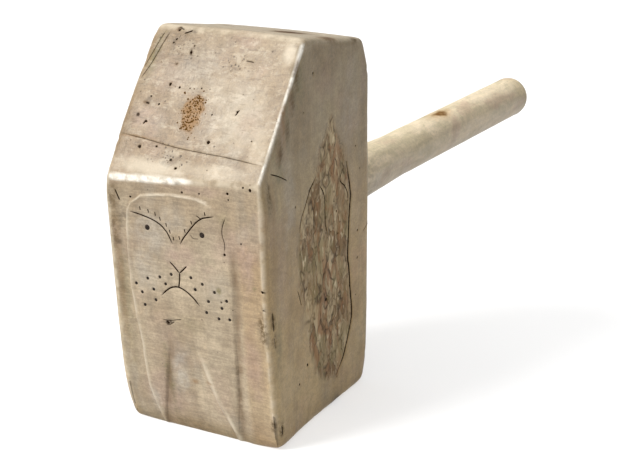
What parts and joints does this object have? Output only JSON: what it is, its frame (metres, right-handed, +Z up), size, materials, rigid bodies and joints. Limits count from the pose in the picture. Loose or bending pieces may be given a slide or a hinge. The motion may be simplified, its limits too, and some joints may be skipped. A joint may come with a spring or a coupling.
{
  "type": "gavel",
  "caption": "Carved ivory gavel: a tall block head with a sloping forehead and an engraved walrus face, and a plain round handle let into its back.",
  "frame": {"origin": "centre of the head's flat striking face, which it stands on", "axes": "+Z up through the head, -Y out of the engraved face, +Y along the handle, +X to the face's right as seen"},
  "size_m": [0.0328, 0.1789, 0.0759],
  "materials": {
    "head_ivory": "satin",
    "handle_ivory": "satin",
    "dark_fill": "matte"
  },
  "bodies": {
    "root": {"head": "head_ivory", "handle": "handle_ivory", "eye_inlay_left": "dark_fill", "eye_inlay_right": "dark_fill", "whisker_inlay_left_01": "dark_fill", "whisker_inlay_left_02": "dark_fill", "whisker_inlay_left_03": "dark_fill", "whisker_inlay_left_04": "dark_fill", "whisker_inlay_left_05": "dark_fill", "whisker_inlay_left_06": "dark_fill", "whisker_inlay_left_07": "dark_fill", "whisker_inlay_left_08": "dark_fill", "whisker_inlay_left_09": "dark_fill", "whisker_inlay_right_01": "dark_fill", "whisker_inlay_right_02": "dark_fill", "whisker_inlay_right_03": "dark_fill", "whisker_inlay_right_04": "dark_fill", "whisker_inlay_right_05": "dark_fill", "whisker_inlay_right_06": "dark_fill", "whisker_inlay_right_07": "dark_fill", "whisker_inlay_right_08": "dark_fill", "whisker_inlay_right_09": "dark_fill", "whisker_inlay_right_10": "dark_fill"}
  },
  "joints": []
}
